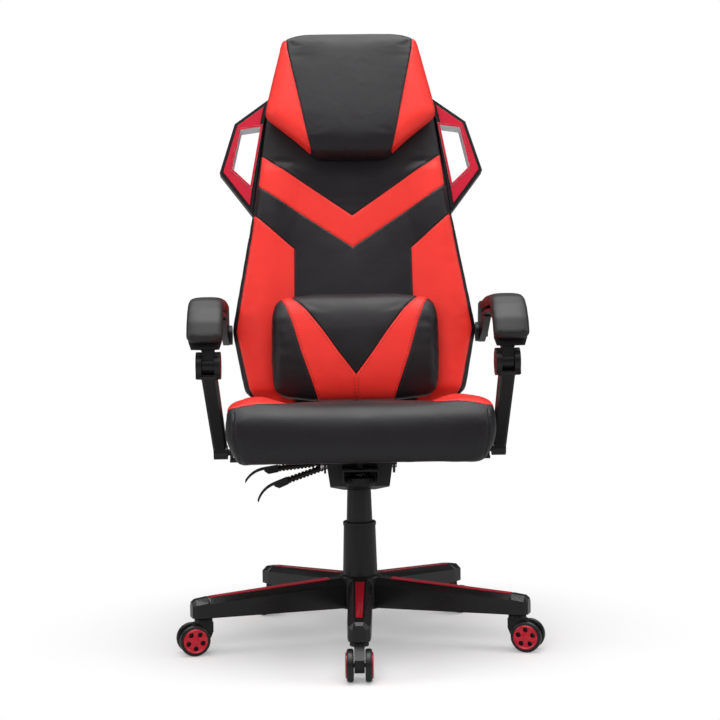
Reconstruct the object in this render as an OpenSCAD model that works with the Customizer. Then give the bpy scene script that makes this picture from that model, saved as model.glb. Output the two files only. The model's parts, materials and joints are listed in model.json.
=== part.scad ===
// Gaming chair with a reclining back, linkage armrests and a five-star base.
// +Z is up, the chair faces -Y, and the origin is on the floor under the swivel axis.
// Left and right are those of someone who looks at the chair's front.

/* [Casters] */
// Diameter of a caster wheel
wheel_d = 58; // [52:1:64]
// Width of one wheel
wheel_w = 12; // [10:0.5:14]
// Space between the two wheels of a caster
wheel_gap = 20.6; // [19:0.2:24]
// Diameter of the wheel axle
axle_d = 8; // [6:0.5:9]
// Distance from the swivel axis to the axle
trail = 20; // [16:1:24]
// Diameter of the caster stem
stem_d = 11; // [10:0.5:12]
// Length of the stem inside the leg
stem_l = 22; // [18:1:24]
// Diameter of the collar under the leg
collar_d = 34; // [30:1:38]
// Height of the collar
collar_h = 9.5; // [7:0.5:12]
// Diameter of the coloured cap in a wheel
cap_d = 46; // [40:1:48]
// Diameter of each opening in a wheel cap
cap_hole_d = 9.5; // [8:0.5:11]

/* [Star base] */
// Distance from the swivel axis to each caster stem
caster_r = 311; // [280:1:330]
// Height of the hub
hub_h = 60; // [54:1:70]
// Diameter of the hub
hub_d = 84; // [76:1:92]
// Width of a leg where it leaves the hub
leg_root_w = 46; // [42:1:50]
// Width of a leg at its tip
leg_tip_w = 42; // [40:1:46]
// Height of a leg at its tip
leg_tip_h = 34; // [32:1:40]
// Wall of the moulded legs
leg_wall = 3.5; // [3:0.5:5]
// Width of the coloured strip at the hub end
strip_w = 18; // [14:1:20]
// How far the base stands turned from the seat, clockwise from above
base_turn = 2; // [0:1:35]

/* [Gas lift] */
// Diameter of the outer tube
tube_d = 50; // [48:0.5:52]
// Diameter of the outer tube at its upper end
tube_top_d = 46; // [45.5:0.5:47.5]
// Height of the outer tube above the hub
tube_rise = 166; // [140:1:200]
// Diameter of the sliding cylinder
cylinder_d = 28; // [26:0.5:30]
// Travel of the lift
lift_travel = 80; // [60:5:85]
// Height of the plastic sleeve over the tube
sleeve_h = 104; // [80:1:120]
// Diameter of the sleeve at its foot
sleeve_foot_d = 67; // [62:1:72]
// Diameter of the sleeve's top lip
sleeve_lip_d = 64; // [60:1:66]

/* [Mechanism] */
// Width of the housing at its top
housing_w = 126; // [116:2:140]
// Length of the housing from front to back
housing_l = 150; // [140:2:164]
// Sheet thickness of the housing
housing_wall = 3; // [2.5:0.5:4]
// Height of the tilt pin above the lift's socket
tilt_rise = 51; // [46:1:58]
// Distance of the tilt pin ahead of the column
tilt_ahead = 60; // [54:1:64]
// Diameter of the tilt pin
tilt_pin_d = 12; // [10:0.5:14]
// Gap between the housing and the tension knob in front of it
knob_gap = 3.5; // [3:0.5:8]
// Diameter of the tension knob
knob_d = 57; // [50:1:60]
// Height of the tension knob
knob_h = 14; // [10:1:16]
// Slope of the height lever
lever_slope = 19; // [16:1:22]
// Slope of the recline lever
recline_slope = 6; // [4:1:9]

/* [Seat] */
// Width of the seat
seat_w = 492; // [482:1:498]
// Distance of the seat's front ahead of the column
seat_front = 265; // [240:1:280]
// Distance of the seat's rear end behind the column
seat_rear = 145; // [130:1:148]
// Height of the seat cushion at its front edge
seat_h = 108; // [98:1:116]
// How far the side bolsters stand above the middle of the seat
seat_bolster = 18; // [12:1:26]
// How far the top of the seat falls from its front edge to its rear end
seat_fall = 36; // [24:1:42]
// Distance of each side panel's seam from the middle
seat_seam = 140; // [120:1:150]
// Thickness of the wooden board
board_t = 12; // [10:1:15]
// Thickness of the steel plate under the board
plate_t = 5; // [4:0.5:6]

/* [Back] */
// Lean of the back from the vertical
lean = 12.8; // [8:0.2:16]
// Distance of the recline pivot behind the column
hinge_y = 190; // [188:1:200]
// Height of the recline pivot above the seat's underside
hinge_rise = 59; // [55:1:64]
// Width of the back at its lower edge
back_low_w = 456; // [440:1:470]
// Width of the back at its widest
back_wide_w = 501; // [490:1:503]
// Width of the back at the feet of the wings
shoulder_w = 412; // [400:1:420]
// Width of the back at the headrest
neck_w = 360; // [350:1:366]
// Width of the back at its top
crown_w = 286; // [270:1:300]
// Height of the back above the pivot, along its lean
back_h = 797; // [780:1:820]
// Height of the widest place above the pivot
wide_at = 170; // [150:1:190]
// Height of the wings' feet above the pivot
shoulder_at = 420; // [400:1:430]
// Height of the headrest's widest place above the pivot
neck_at = 618; // [610:1:630]
// Thickness of the front cushion
cushion_t = 48; // [42:1:54]
// Thickness of the rear cover
cover_t = 12; // [10:1:16]

/* [Headrest and pillow] */
// Height of the headrest's lower edge above the pivot
head_low_at = 523; // [510:1:535]
// Width of the headrest's lower edge
head_low_w = 164; // [150:1:180]
// Thickness of the headrest at its lower part
head_t = 58; // [45:1:65]
// Width of the lumbar pillow
pillow_w = 334; // [300:2:350]
// Height of the lumbar pillow
pillow_h = 220; // [190:1:224]
// Thickness of the lumbar pillow
pillow_t = 88; // [70:1:92]

/* [Wings] */
// Distance of a wing's outer corner from the middle
wing_reach = 275; // [265:1:285]
// Height of the outer corner above the pivot
wing_out_at = 508; // [495:1:515]
// Distance of a wing's upper corner from the middle
wing_top_reach = 243; // [236:1:250]
// Height of the upper corner above the pivot
wing_top_at = 614; // [608:1:620]
// Height of a wing's upper end above the pivot
wing_end_at = 668; // [660:1:680]
// Depth of a wing from front to back
wing_t = 32; // [26:1:36]
// Width of the black border round a wing
wing_border = 7; // [5:0.5:9]
// Width of the bezel round a wing's opening
bezel_w = 5; // [4:0.5:7]

/* [Armrests] */
// Distance of an arm pad's middle from the middle of the chair
arm_x = 286; // [284:1:292]
// Width of an arm pad
pad_w = 70; // [60:1:72]
// Thickness of an arm pad
pad_t = 26; // [22:1:30]
// Height of an arm pad's crest above the knuckle
pad_rise = 129; // [126:1:138]
// Height of the knuckle above the foot pivot
arm_rise = 160; // [152:1:166]
// How far the knuckle lies behind the foot pivot
arm_shift = 38; // [34:1:42]
// Distance of the foot pivot ahead of the column
foot_ahead = 113; // [105:1:120]
// Distance of a post's foot from the middle of the chair
foot_x = 259; // [257:0.5:262]
// Diameter of the linkage pins
link_pin_d = 12; // [10:0.5:14]

/* [Hidden] */
$fn = 64;

// Clearances
run = 0.05;          // radial, shaft in bore
seat_gap = 0.3;      // between pieces that rest on each other
move_gap = 0.5;      // between pieces that pass each other

// Heights from the floor upwards
axle_z = wheel_d / 2;
collar_z = wheel_d + 2;
leg_z = collar_z + collar_h + move_gap;
hub_top = leg_z + hub_h;
leg_root_h = hub_h - 2;
tube_bottom = leg_z - 6;
tube_top = hub_top + tube_rise;
socket_z = tube_top + 3;
tilt_z = socket_z + tilt_rise;
plate_z = tilt_z + 16;
seat_z = plate_z + plate_t;
seat_top = seat_z + seat_h;
hinge_z = seat_z + hinge_rise;
leg_tip_r = caster_r + 23;

// Gas lift
tube_wall = 4;
bush_h = 60;
end_plate = 6;
rod_r = 5;
bearing_h = 6;
cylinder_bottom = hub_top + 2;  // lowered, it ends just above the hub
cylinder_top = socket_z + 38;
cylinder_wall = 3;
piston_z = cylinder_bottom + cylinder_wall + lift_travel + 22;
piston_h = 12;

// Mechanism
tilt_y = -tilt_ahead;
knob_y = -housing_l / 2 - knob_gap - knob_d / 2;
knob_z = socket_z + 19;
knob_wall = 3;
tilt_max = 10;         // the seat's travel about the tilt pin
nose_z = knob_z + knob_h + (tilt_y - knob_y + knob_d / 2) * sin(tilt_max) + 1;
nose_t = 3;
nose_w = knob_d + 10;
spring_wire = 4;
ear_t = 4;
housing_low_w = housing_w - 14;
lever_reach = 62;
lever_r = 4;

// Back, in a frame that leans about the recline pivot
back_bottom = 30;
board_front = 13;
frame_t = 8;
cover_front = board_front + frame_t + 6;
plate_x = 200;
hinge_plate_t = 6;
hinge_pin_r = 8;
hinge_r = 24;
crown_at = back_h - 11;

// Armrest linkage: foot, knuckle, recline pivot and rear pivot form a parallelogram
foot_y = -foot_ahead;
foot_z = seat_z + 12;
knuckle_y = foot_y + arm_shift;
knuckle_z = foot_z + arm_rise;
rear_y = hinge_y + arm_shift;
rear_z = hinge_z + arm_rise;
knuckle_x = arm_x - 4.5;
lug_w = 23;
cheek_t = 11;
cheek_r = 26;
arm_plate_x = back_wide_w / 2 + 6.5;
arm_plate_t = 13;
pad_crest = knuckle_z + pad_rise;
pad_bend_y = -20;
pad_bend_r = 110;
pad_rear_y = 140;
deck_t = 12;
ear_x = 236.5;

plastic = [0.13, 0.13, 0.14];
leather = [0.16, 0.15, 0.16];
orange = [0.90, 0.24, 0.18];
crimson = [0.78, 0.05, 0.17];
steel = [0.62, 0.63, 0.65];
wood = [0.76, 0.62, 0.42];
trim = [0.82, 0.82, 0.84];

// A closed solid through rings of equal length.
// Each ring runs anticlockwise when seen from the last ring.
module loft(rings) {
    n = len(rings[0]);
    top = (len(rings) - 1) * n;
    points = [for (ring = rings) each ring];
    sides = [for (i = [0 : len(rings) - 2]) for (j = [0 : n - 1])
        let (a = i * n + j, b = i * n + (j + 1) % n) each [[a, b + n, b], [a, a + n, b + n]]];
    low = [for (j = [1 : n - 2]) [0, j, j + 1]];
    high = [for (j = [1 : n - 2]) [top, top + j + 1, top + j]];
    polyhedron(points, concat(sides, low, high));
}

// The same outline on both sides of the middle, from its right half
function both(half) = concat(half, [for (i = [len(half) - 1 : -1 : 0]) [-half[i][0], half[i][1]]]);

// A convex outline moved inwards by d (outwards where d is negative)
function edge_line(a, b, d) = let (u = (b - a) / norm(b - a), n = [-u[1], u[0]]) [a + n * d, u];
function meet(p, q) = let (w = q[0] - p[0], k = p[1][0] * q[1][1] - p[1][1] * q[1][0])
    p[0] + p[1] * ((w[0] * q[1][1] - w[1] * q[1][0]) / k);
function inset(pts, d) = let (n = len(pts)) [for (i = [0 : n - 1])
    meet(edge_line(pts[(i + n - 1) % n], pts[i], d), edge_line(pts[i], pts[(i + 1) % n], d))];

// A rounded ring of half sizes a and b; p = 2 is an ellipse and a larger p is squarer
function rounded(a, b, p, n) = [for (i = [0 : n - 1]) let (t = 360 * (i + 0.5) / n)
    [a * sign(cos(t)) * pow(abs(cos(t)), 2 / p), b * sign(sin(t)) * pow(abs(sin(t)), 2 / p)]];

module on_back() translate([0, hinge_y, hinge_z]) rotate([-lean, 0, 0]) children();
module mirrored() { children(); mirror([1, 0, 0]) children(); }
// An outline in Y and Z, extruded along X from x over t
module side_plate(x, t) translate([x, 0, 0]) rotate([90, 0, 90]) linear_extrude(t) children();
module at_leg(i) rotate([0, 0, -90 - base_turn + 72 * (i - 1)]) children();
module bar_x(x0, x1, r) translate([x0, 0, 0]) rotate([0, 90, 0]) cylinder(h = x1 - x0, r = r);

// ---------------------------------------------------------------- casters

module at_caster(i) at_leg(i) translate([caster_r, 0, 0]) children();
module across(y0, h, r) translate([0, y0, 0]) rotate([-90, 0, 0]) cylinder(h = h, r = r);

web_w = wheel_gap - 2.4;
axle_boss_r = 14;
axle_l = wheel_gap + 2 * wheel_w - 8;

module caster_fork(i) color(plastic) at_caster(i) {
    half = collar_d / 2;
    translate([0, web_w / 2, 0]) rotate([90, 0, 0]) linear_extrude(web_w) union() {
        polygon([[-half, collar_z + 1], [-half, axle_z + 14], [-half + 5, axle_z + 2],
                 [trail - 6, axle_z - axle_boss_r + 2], [trail + axle_boss_r, axle_z],
                 [trail + axle_boss_r + 3, axle_z + 12], [half + 5, collar_z - 6],
                 [half, collar_z + 1]]);
        translate([trail, axle_z]) circle(r = axle_boss_r);
    }
    translate([0, 0, collar_z]) cylinder(h = collar_h - 3, r = half);
    translate([0, 0, collar_z + collar_h - 3]) cylinder(h = 3, r1 = half, r2 = half - 2);
    translate([0, 0, collar_z + collar_h - 1]) cylinder(h = stem_l + 1, r = stem_d / 2);
    translate([trail, 0, axle_z]) across(-axle_l / 2, axle_l, axle_d / 2);
}

// side is 1 for the left wheel and -1 for the right one, seen from behind the caster
module caster_wheel(i, side) color(plastic) at_caster(i) translate([trail, 0, axle_z])
    rotate([-90 * side, 0, 0]) translate([0, 0, wheel_gap / 2]) rotate_extrude() {
        r = wheel_d / 2;
        hub_r = axle_d / 2 + 4;
        bore_r = axle_d / 2 + run;
        rim_r = cap_d / 2 + 0.6;
        polygon([[bore_r, 0.6], [hub_r + 2, 0.6], [hub_r + 4, 2], [rim_r - 4, 2], [rim_r - 2, 0],
                 [r - 3, 0], [r - 0.8, 1], [r, 3], [r, wheel_w - 3.5], [r - 1.2, wheel_w - 1],
                 [r - 3, wheel_w], [rim_r, wheel_w], [rim_r, wheel_w - 4],
                 [rim_r - 1.5, 4.5], [hub_r, 4.5], [hub_r, wheel_w - 5], [bore_r, wheel_w - 5]]);
    }

module wheel_cap(i, side) color(crimson) at_caster(i) translate([trail, 0, axle_z])
    rotate([-90 * side, 0, 0]) translate([0, 0, wheel_gap / 2]) difference() {
        r = cap_d / 2;
        rotate_extrude() polygon([[0, wheel_w - 3.6], [r - 0.3, wheel_w - 3.6], [r, wheel_w - 3],
                                  [r, wheel_w + 1], [r - 2, wheel_w + 2.4], [r - 4, wheel_w + 1],
                                  [r - 9, wheel_w - 0.8], [7, wheel_w], [4, wheel_w + 1.2],
                                  [0, wheel_w + 1.4]]);
        for (k = [0 : 4]) rotate([0, 0, 72 * k + 18]) translate([cap_d * 0.31, 0, 0]) {
            cylinder(h = 2 * wheel_w, r = cap_hole_d / 2);
            linear_extrude(2 * wheel_w) polygon([[-cap_hole_d * 0.62, 0], [0, -cap_hole_d / 2],
                                                 [0, cap_hole_d / 2]]);
        }
    }

// ---------------------------------------------------------------- star base

leg_start = hub_d / 2 - 8;
strip_start = hub_d / 2 + 22;
strip_end = leg_tip_r - 34;
crown_drop = 12;

// Half section of a leg at radius r: bottom, shoulder and top
function leg_w(r) = lookup(r, [[leg_start, leg_root_w / 2], [leg_tip_r, leg_tip_w / 2]]);
function leg_h(r) = lookup(r, [[leg_start, leg_root_h], [leg_tip_r, leg_tip_h]]);
function top_w(r) = lookup(r, [[leg_start, strip_w / 2 + 4], [strip_end, strip_w / 3 + 4],
    [leg_tip_r, strip_w / 3 + 2]]);
function leg_ring(r, w, h, tw, drop) =
    [for (p = [[w, 0], [w, h - drop], [tw, h], [-tw, h], [-w, h - drop], [-w, 0]])
        [r, p[0], leg_z + p[1]]];

module leg_shell() loft([
    leg_ring(leg_start, leg_w(leg_start), leg_h(leg_start), top_w(leg_start), crown_drop),
    leg_ring(strip_end, leg_w(strip_end), leg_h(strip_end), top_w(strip_end), crown_drop - 2),
    leg_ring(leg_tip_r - 30, leg_w(leg_tip_r), leg_h(leg_tip_r - 30) + 1, top_w(leg_tip_r), crown_drop - 3),
    leg_ring(leg_tip_r - 7, leg_w(leg_tip_r) - 2, leg_tip_h, top_w(leg_tip_r), crown_drop - 3),
    leg_ring(leg_tip_r, leg_w(leg_tip_r) - 9, leg_tip_h - 5, top_w(leg_tip_r) - 2, crown_drop - 4)]);

// The open underside of a leg, between the hub and the caster socket
module leg_channel() {
    r0 = hub_d / 2 + 2;
    r1 = caster_r - stem_d / 2 - 10;
    w0 = leg_w(r0) - leg_wall;
    w1 = leg_w(r1) - leg_wall;
    loft([leg_ring(r0, w0, leg_h(r0) - leg_wall - 5, top_w(r0) - leg_wall, crown_drop - 2),
          leg_ring(r1, w1, leg_h(r1) - leg_wall - 5, top_w(r1) - leg_wall, crown_drop - 4)]);
}

module strip_groove(grow) {
    z0 = leg_z + leg_h(strip_start) - 2.2;
    z1 = leg_z + leg_h(strip_end) - 2.2;
    a = strip_w / 2 + grow;
    b = strip_w / 3 + grow;
    h = grow > 0 ? 6 : 3.4;
    loft([[for (p = [[a, 0], [a, h], [0, h - 1], [-a, h], [-a, 0]]) [strip_start - grow, p[0], z0 + p[1]]],
          [for (p = [[b, 0], [b, h], [0, h - 1], [-b, h], [-b, 0]]) [strip_end + grow, p[0], z1 + p[1]]]]);
}

module star_base() color(plastic) difference() {
    union() {
        translate([0, 0, leg_z - 2]) cylinder(h = hub_h - 1, r = hub_d / 2);
        translate([0, 0, hub_top - 3]) cylinder(h = 3, r1 = hub_d / 2, r2 = hub_d / 2 - 3);
        for (i = [1 : 5]) at_leg(i) leg_shell();
    }
    for (i = [1 : 5]) at_leg(i) {
        difference() {
            translate([0, 0, -0.01]) leg_channel();
            for (r = [hub_d / 2 + 60 : 62 : caster_r - 60])
                translate([r, -40, leg_z - 1]) cube([2.5, 80, 60]);
        }
        strip_groove(0.6);
        translate([caster_r, 0, leg_z - 1]) cylinder(h = stem_l + 3, r = stem_d / 2 + run);
    }
    translate([0, 0, leg_z - 3]) cylinder(h = hub_h + 4, r = tube_d / 2 + run);
}

module leg_strips() color(crimson) for (i = [1 : 5]) at_leg(i) translate([0, 0, seat_gap]) strip_groove(0);

// ---------------------------------------------------------------- gas lift

module column_tube() color(plastic) difference() {
    taper_z = hub_top + sleeve_h + 1;
    union() {
        translate([0, 0, tube_bottom]) cylinder(h = taper_z - tube_bottom, r = tube_d / 2);
        translate([0, 0, taper_z]) cylinder(h = tube_top - taper_z, r1 = tube_d / 2, r2 = tube_top_d / 2);
    }
    translate([0, 0, tube_bottom + end_plate]) cylinder(h = tube_top, r = tube_d / 2 - tube_wall);
    translate([0, 0, tube_bottom - 1]) cylinder(h = end_plate + 2, r = rod_r + run);
}

module column_sleeve() color(plastic) {
    z0 = hub_top + seat_gap;
    lip = 8;
    wall = 2.4;
    neck_r = tube_d / 2 + 0.4;
    foot_r = sleeve_foot_d / 2;
    lip_r = sleeve_lip_d / 2;
    rotate_extrude() polygon([[foot_r - wall, z0], [foot_r, z0], [lip_r - 1.2, z0 + sleeve_h - lip],
        [lip_r, z0 + sleeve_h - lip + 0.8], [lip_r, z0 + sleeve_h - 1.5], [lip_r - 1.5, z0 + sleeve_h],
        [neck_r + 2, z0 + sleeve_h], [neck_r, z0 + sleeve_h - 2], [neck_r, z0 + sleeve_h - lip],
        [lip_r - wall - 1.2, z0 + sleeve_h - lip]]);
}

module guide_bush() color(trim) difference() {
    translate([0, 0, tube_top - bush_h]) cylinder(h = bush_h - 1, r = tube_d / 2 - tube_wall - run);
    translate([0, 0, tube_top - bush_h - 1]) cylinder(h = bush_h + 2, r = cylinder_d / 2 + run);
}

module piston_rod() color(steel) {
    translate([0, 0, tube_bottom - 4]) cylinder(h = piston_z - tube_bottom + 4, r = rod_r);
    translate([0, 0, piston_z]) cylinder(h = piston_h, r = cylinder_d / 2 - cylinder_wall - run);
    translate([0, 0, tube_bottom + end_plate + bearing_h]) cylinder(h = 3, r = rod_r + 4);
}

module thrust_bearing() color(steel) {
    r = tube_d / 2 - tube_wall - 1;
    translate([0, 0, tube_bottom + end_plate + 0.1]) rotate_extrude()
        polygon([[rod_r + run, 0], [r, 0], [r, 1.6], [r - 3, 1.6], [r - 3, bearing_h - 1.8],
                 [r, bearing_h - 1.8], [r, bearing_h - 0.2], [rod_r + run, bearing_h - 0.2]]);
}

module retaining_clip() color(steel) difference() {
    translate([0, 0, tube_bottom - 2.2]) cylinder(h = 1.8, r = rod_r + 5);
    translate([0, 0, tube_bottom - 3]) cylinder(h = 4, r = rod_r + run);
    translate([0, -2.5, tube_bottom - 3]) cube([rod_r + 6, 5, 4]);
}

module gas_cylinder() color(steel) difference() {
    r = cylinder_d / 2;
    translate([0, 0, cylinder_bottom]) cylinder(h = cylinder_top - cylinder_bottom, r = r);
    translate([0, 0, cylinder_bottom + cylinder_wall])
        cylinder(h = cylinder_top - cylinder_bottom - 2 * cylinder_wall, r = r - cylinder_wall);
    translate([0, 0, cylinder_bottom - 1]) cylinder(h = cylinder_wall + 2, r = rod_r + run);
}

// ---------------------------------------------------------------- mechanism

// Front view of the housing, narrower by d on each side
function housing_front(d) = let (top = housing_w / 2 - d, low = housing_low_w / 2 - d)
    [[-top, tilt_rise + 8], [-low, 9], [-30 + d, 0], [30 - d, 0], [low, 9], [top, tilt_rise + 8]];

module housing_block(d, lift) intersection() {
    y0 = -housing_l / 2 + d;
    y1 = housing_l / 2 - d;
    translate([0, y1, socket_z + lift]) rotate([90, 0, 0]) linear_extrude(y1 - y0)
        polygon(housing_front(d));
    side_plate(-housing_w, 2 * housing_w) polygon([[y0, socket_z + 12 + lift], [y0, tilt_z + 8],
        [tilt_y + 24, tilt_z + 8], [y1, socket_z + 34], [y1, socket_z + 16 + lift],
        [34, socket_z + lift], [-34, socket_z + lift]]);
}

module mech_housing() color(plastic) difference() {
    union() {
        difference() {
            housing_block(0, 0);
            translate([0, 0, 0.01]) housing_block(housing_wall, housing_wall);
        }
        translate([0, 0, socket_z]) cylinder(h = 36, r = cylinder_d / 2 + 5);
        // channel over the tension spring
        difference() {
            translate([-nose_w / 2, knob_y - 36, knob_z + 4])
                cube([nose_w, -housing_l / 2 - knob_y + 36.5, nose_z + nose_t - knob_z - 4]);
            translate([-nose_w / 2 + 2.5, knob_y - 40, knob_z - 1])
                cube([nose_w - 5, -housing_l / 2 - knob_y + 40, nose_z - knob_z + 1]);
        }
    }
    translate([0, 0, socket_z - 1]) cylinder(h = 60, r = cylinder_d / 2 + run);
    translate([0, knob_y, nose_z - 1]) cylinder(h = nose_t + 2, r = 13);
    translate([0, tilt_y, tilt_z]) bar_x(-housing_w, housing_w, tilt_pin_d / 2 + run);
    // slot in which the height lever rocks
    translate([-housing_w / 2 - 1, lever_y - lever_r - move_gap, lever_z - 8])
        cube([16, 2 * (lever_r + move_gap), 16]);
}

module tilt_pin() color(steel) translate([0, tilt_y, tilt_z]) {
    end = housing_w / 2 + ear_t + 4;
    bar_x(-end, end, tilt_pin_d / 2);
    bar_x(-end - 3, -end, tilt_pin_d / 2 + 3);
}

spring_low = knob_z + knob_wall + spring_wire / 2 + seat_gap;
spring_high = nose_z - spring_wire / 2 - seat_gap;
spring_r = 17;
spring_turns = 2.5;

module tension_spring() color(steel) {
    steps = 36;
    loft([for (k = [0 : steps]) let (a = 360 * spring_turns * k / steps,
                                     z = spring_low + (spring_high - spring_low) * k / steps)
        [for (j = [0 : 5]) let (b = 60 * j, r = spring_r - spring_wire / 2 * cos(b))
            [r * cos(a), knob_y + r * sin(a), z + spring_wire / 2 * sin(b)]]]);
}

module tension_knob() color(plastic) translate([0, knob_y, 0]) difference() {
    r = knob_d / 2;
    union() {
        translate([0, 0, knob_z]) cylinder(h = 2, r1 = r - 3, r2 = r - 1.5);
        translate([0, 0, knob_z + 2]) cylinder(h = knob_h - 2, r = r - 1.5);
        for (k = [0 : 19]) rotate([0, 0, 18 * k]) translate([r - 2, 0, knob_z + 1])
            cylinder(h = knob_h - 1, r = 1.9);
    }
    translate([0, 0, knob_z + knob_wall]) cylinder(h = knob_h, r = r - 5);
    translate([0, 0, knob_z - 1]) cylinder(h = 12, r = rod_r + run);
}

// ---------------------------------------------------------------- levers

lever_x = -housing_w / 2;
lever_y = tilt_y + 26;
lever_z = tilt_z - 5;
recline_y = lever_y + 79;
recline_x = lever_x - 16;
recline_lever_z = lever_z - 3;

// A handle along -X that slopes down: pivot, rod, ribbed grip, flat sleeve and curved blade
module lever(root, slope) {
    blade_x = 104;
    blade_r = 52;
    rotate([0, -slope, 0]) mirror([1, 0, 0]) {
        across(-lever_r, 2 * lever_r, lever_r + 1.5);
        bar_x(-root, lever_reach, lever_r);
        for (k = [0 : 9]) translate([8 + 7.2 * k, 0, 0]) bar_x(0, 4.4, 6.6);
        bar_x(6, 80, 5);
        translate([0, 10, 0]) rotate([90, 0, 0]) linear_extrude(20)
            polygon([[78, 6.5], [107, 5], [105, -2], [98, -8], [78, -6.5]]);
        translate([0, 10, 0]) rotate([90, 0, 0]) linear_extrude(20) difference() {
            intersection() {
                translate([blade_x, 5 - blade_r]) circle(r = blade_r);
                translate([blade_x - 2, -20]) square([43, 40]);
            }
            translate([blade_x, 4 - blade_r]) circle(r = blade_r - 3);
        }
    }
}

module height_lever() color(plastic) translate([lever_x, lever_y, lever_z]) lever(8, lever_slope);

module recline_lever() color(plastic) translate([recline_x, recline_y, recline_lever_z])
    lever(5, recline_slope);

// ---------------------------------------------------------------- seat

module seat_plate() color(steel) {
    half_l = 95;
    difference() {
        translate([-half_l, knob_y - 30, plate_z]) cube([2 * half_l, 110 - knob_y + 30, plate_t]);
        for (x = [-70, 70]) for (y = [knob_y, 80]) translate([x, y, plate_z - 1])
            cylinder(h = plate_t + 2, r = 4.2);
    }
    // ears on the tilt pin
    mirrored() side_plate(housing_w / 2 + move_gap, ear_t) difference() {
        union() {
            translate([tilt_y - 16, tilt_z]) square([32, plate_z - tilt_z + 1]);
            translate([tilt_y, tilt_z]) circle(r = 16);
        }
        translate([tilt_y, tilt_z]) circle(r = tilt_pin_d / 2 + run);
    }
    // tension bolt
    translate([0, knob_y, knob_z - 2]) cylinder(h = plate_z - knob_z + 3, r = rod_r);
    // bracket of the recline lever
    translate([recline_x, recline_y, 0]) difference() {
        translate([-3, -9, recline_lever_z - 11]) cube([5, 18, plate_z - recline_lever_z + 12]);
        translate([-4, -lever_r - move_gap, recline_lever_z - 8]) cube([8, 2 * (lever_r + move_gap), 16]);
    }
    // outriggers with the pins of the arm posts
    mirrored() {
        translate([half_l - 1, foot_y - 20, plate_z]) cube([ear_x + 5 - half_l + 1, 40, plate_t]);
        side_plate(ear_x, 5) union() {
            translate([foot_y - 12, plate_z]) square([24, foot_z - plate_z]);
            translate([foot_y, foot_z]) circle(r = 12);
        }
        translate([0, foot_y, foot_z]) bar_x(ear_x + 2, foot_x + 10, link_pin_d / 2);
    }
}

board_w = 400;
seat_arch = 1;        // rise of the cushion's underside in front of and behind the board
board_front_y = -seat_front + 45;
board_rear_y = seat_rear - 14;

module board_shape(grow) {
    c = 40;
    x = board_w / 2 + grow;
    y0 = board_front_y - grow;
    y1 = board_rear_y + grow;
    polygon([[-x + c, y0], [x - c, y0], [x, y0 + c], [x, y1 - c / 2], [x - c / 2, y1],
             [-x + c / 2, y1], [-x, y1 - c / 2], [-x, y0 + c]]);
}

module seat_board() color(wood) translate([0, 0, seat_z + seat_gap]) linear_extrude(board_t) board_shape(0);

// Section of the seat cushion at y, over a pocket of depth d for the board.
// w is the half width, z0 the underside, m the middle's height and b the bolster's rise.
function seat_section(y, d) = let (
    f = -seat_front,
    r = seat_rear,
    w = seat_w / 2 - lookup(y, [[f, 28], [f + 9, 12], [f + 28, 2], [f + 70, 0], [r - 12, 3], [r, 12]]),
    z0 = seat_z + lookup(y, [[f, 14], [f + 9, 3], [f + 20, 0], [r - 12, 0], [r, 8]]),
    m = seat_top - lookup(y, [[f, 32], [f + 9, 16], [f + 28, 3], [f + 48, 0], [f + 70, 1],
                              [0, 0.55 * seat_fall], [r - 12, seat_fall], [r, seat_fall + 10]]),
    b = lookup(y, [[f, 1], [f + 9, 2], [f + 28, 3], [f + 48, 8], [f + 70, 0.6 * seat_bolster],
                   [0, seat_bolster], [r - 12, seat_bolster - 2], [r, seat_bolster - 8]]),
    t = m + b - z0,
    h = min(board_w / 2 + seat_gap, w - 38),
    half = [[h - (d > seat_arch ? 0 : 15), z0 + d], [h + 0.5, z0], [w - 23, z0], [w - 7, z0 + 0.28 * t],
            [w, z0 + 0.47 * t], [w - 4, z0 + 0.9 * t], [w - 30, z0 + t - 1], [w - 62, z0 + t],
            [seat_seam, m + 1], [60, m]])
    [for (p = both(half)) [p[0], y, p[1]]];

module seat_cushion() color(leather) {
    pocket = board_t + 2 * seat_gap;
    y0 = board_front_y - seat_gap;
    y1 = board_rear_y + seat_gap;
    loft([seat_section(seat_rear, seat_arch), seat_section(y1 + 0.5, seat_arch),
          seat_section(y1, pocket), seat_section(0, pocket), seat_section(-seat_front + 70, pocket),
          seat_section(-seat_front + 48, pocket), seat_section(y0, pocket), seat_section(y0 - 0.5, seat_arch),
          seat_section(-seat_front + 28, seat_arch),
          seat_section(-seat_front + 9, seat_arch), seat_section(-seat_front, seat_arch)]);
}

// Seat half of the recline hinge: plates under the board that carry the pivot pins
module hinge_plates() color(steel) mirrored() {
    side_plate(plate_x, hinge_plate_t) union() {
        polygon([[60, seat_z], [60, seat_z - 22], [hinge_y - 24, seat_z - 22],
                 [hinge_y + hinge_r, hinge_z - 24], [hinge_y + hinge_r, hinge_z],
                 [hinge_y - hinge_r, hinge_z], [seat_rear + 6, seat_z + 18], [seat_rear + 6, seat_z]]);
        translate([hinge_y, hinge_z]) circle(r = hinge_r);
    }
    translate([board_w / 2 - 34, 66, seat_z - 5]) cube([plate_x - board_w / 2 + 36, 66, 5]);
    translate([0, hinge_y, hinge_z]) bar_x(plate_x + 2, plate_x + 2 * hinge_plate_t + 3, hinge_pin_r);
}

cover_x = plate_x + 2 * hinge_plate_t + 1;

module hinge_covers() color(plastic) mirrored() translate([cover_x, hinge_y, hinge_z])
    rotate([0, 90, 0]) rotate_extrude()
        polygon([[0, 2.5], [hinge_pin_r + run, 2.5], [hinge_pin_r + run, 0], [28, 0],
                 [28, 8], [24, 14], [12, 16], [0, 16]]);

// ---------------------------------------------------------------- back

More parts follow.
